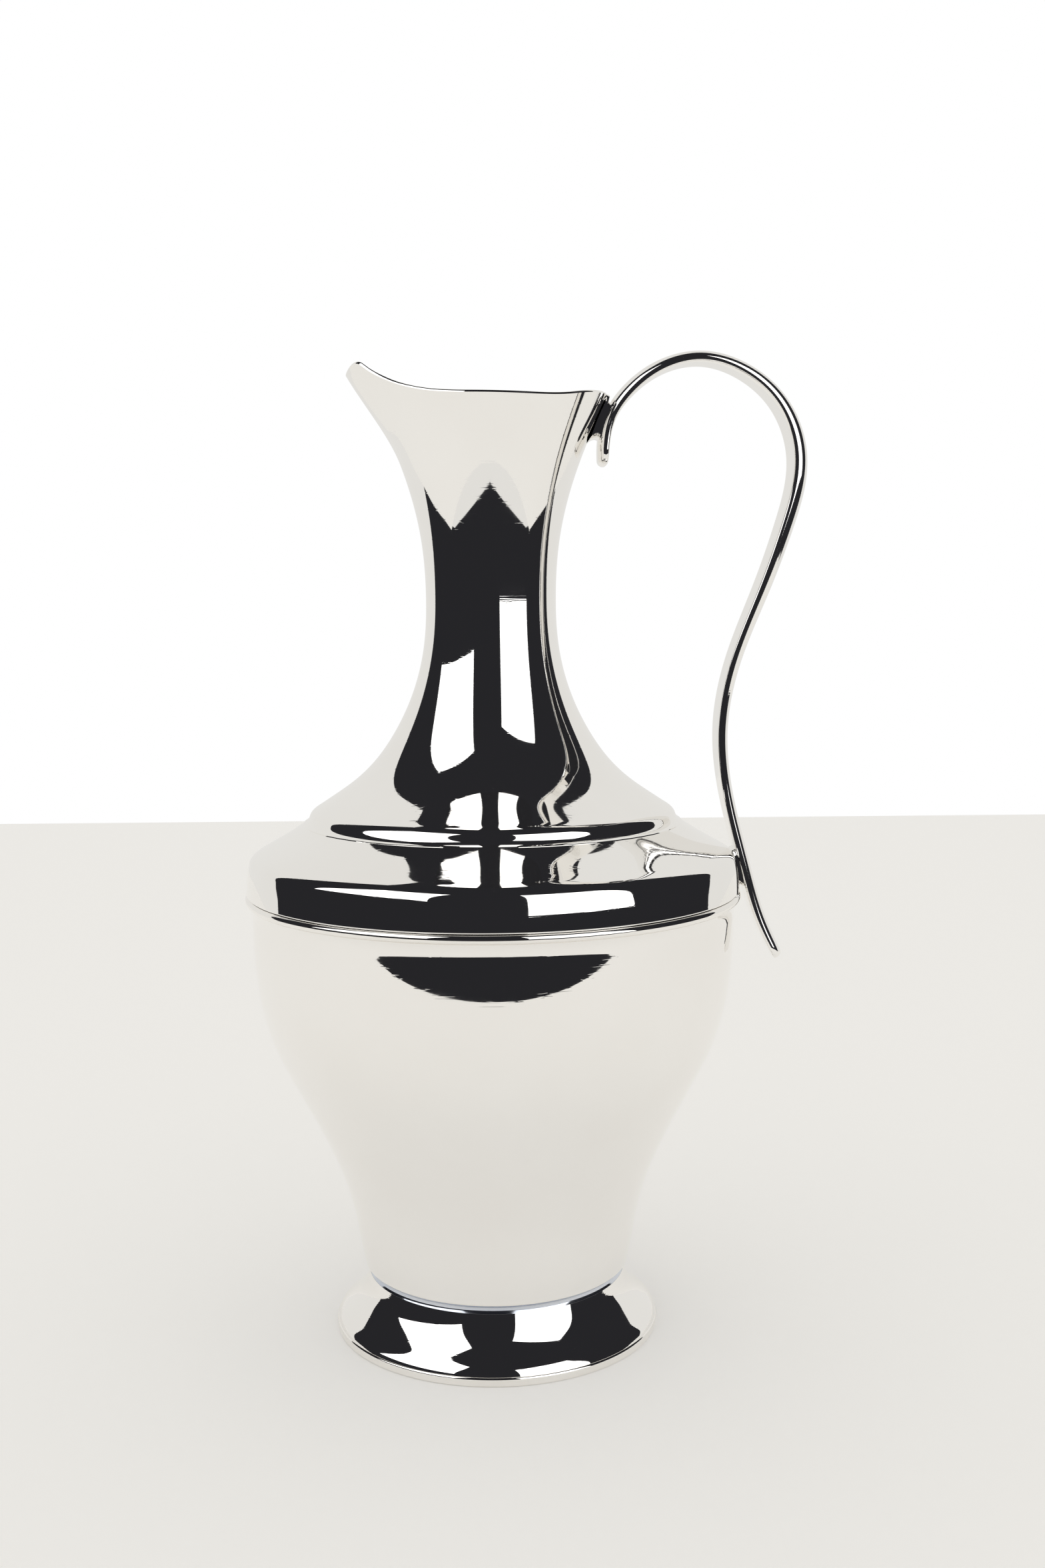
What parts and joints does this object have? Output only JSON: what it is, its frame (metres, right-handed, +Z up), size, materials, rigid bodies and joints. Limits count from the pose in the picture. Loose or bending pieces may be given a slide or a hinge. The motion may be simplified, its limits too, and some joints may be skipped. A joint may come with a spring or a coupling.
{
  "type": "water pitcher",
  "caption": "Polished silver pitcher with a trumpet neck, drawn spout, banded shoulder, vase body, flared foot and an arched strap handle.",
  "frame": {"origin": "on the table under the middle of the pitcher's overall length and width, about 10 mm from the vessel's own axis towards the handle", "axes": "+Z up along the vessel's axis, +X towards the handle, -X towards the spout, XZ is the plane of symmetry"},
  "size_m": [0.1708, 0.1512, 0.2982],
  "materials": {
    "polished_sheet": "mirror-polished silver sheet with faint hand-polishing lines",
    "polished_wire": "mirror-polished silver wire",
    "blued_collar": "polished silver, a little tarnished to blue-grey in the cove",
    "cast_strap": "polished cast silver with fine scratches along the strap"
  },
  "bodies": {
    "root": {"foot_rim_wire": "polished_wire", "foot": "polished_sheet", "foot_collar": "blued_collar", "lower_body": "polished_sheet", "shoulder_bead_wire": "polished_wire", "shoulder": "polished_sheet", "neck": "polished_sheet", "handle": "cast_strap", "upper_handle_bracket": "cast_strap", "lower_handle_stub": "cast_strap"}
  },
  "joints": []
}
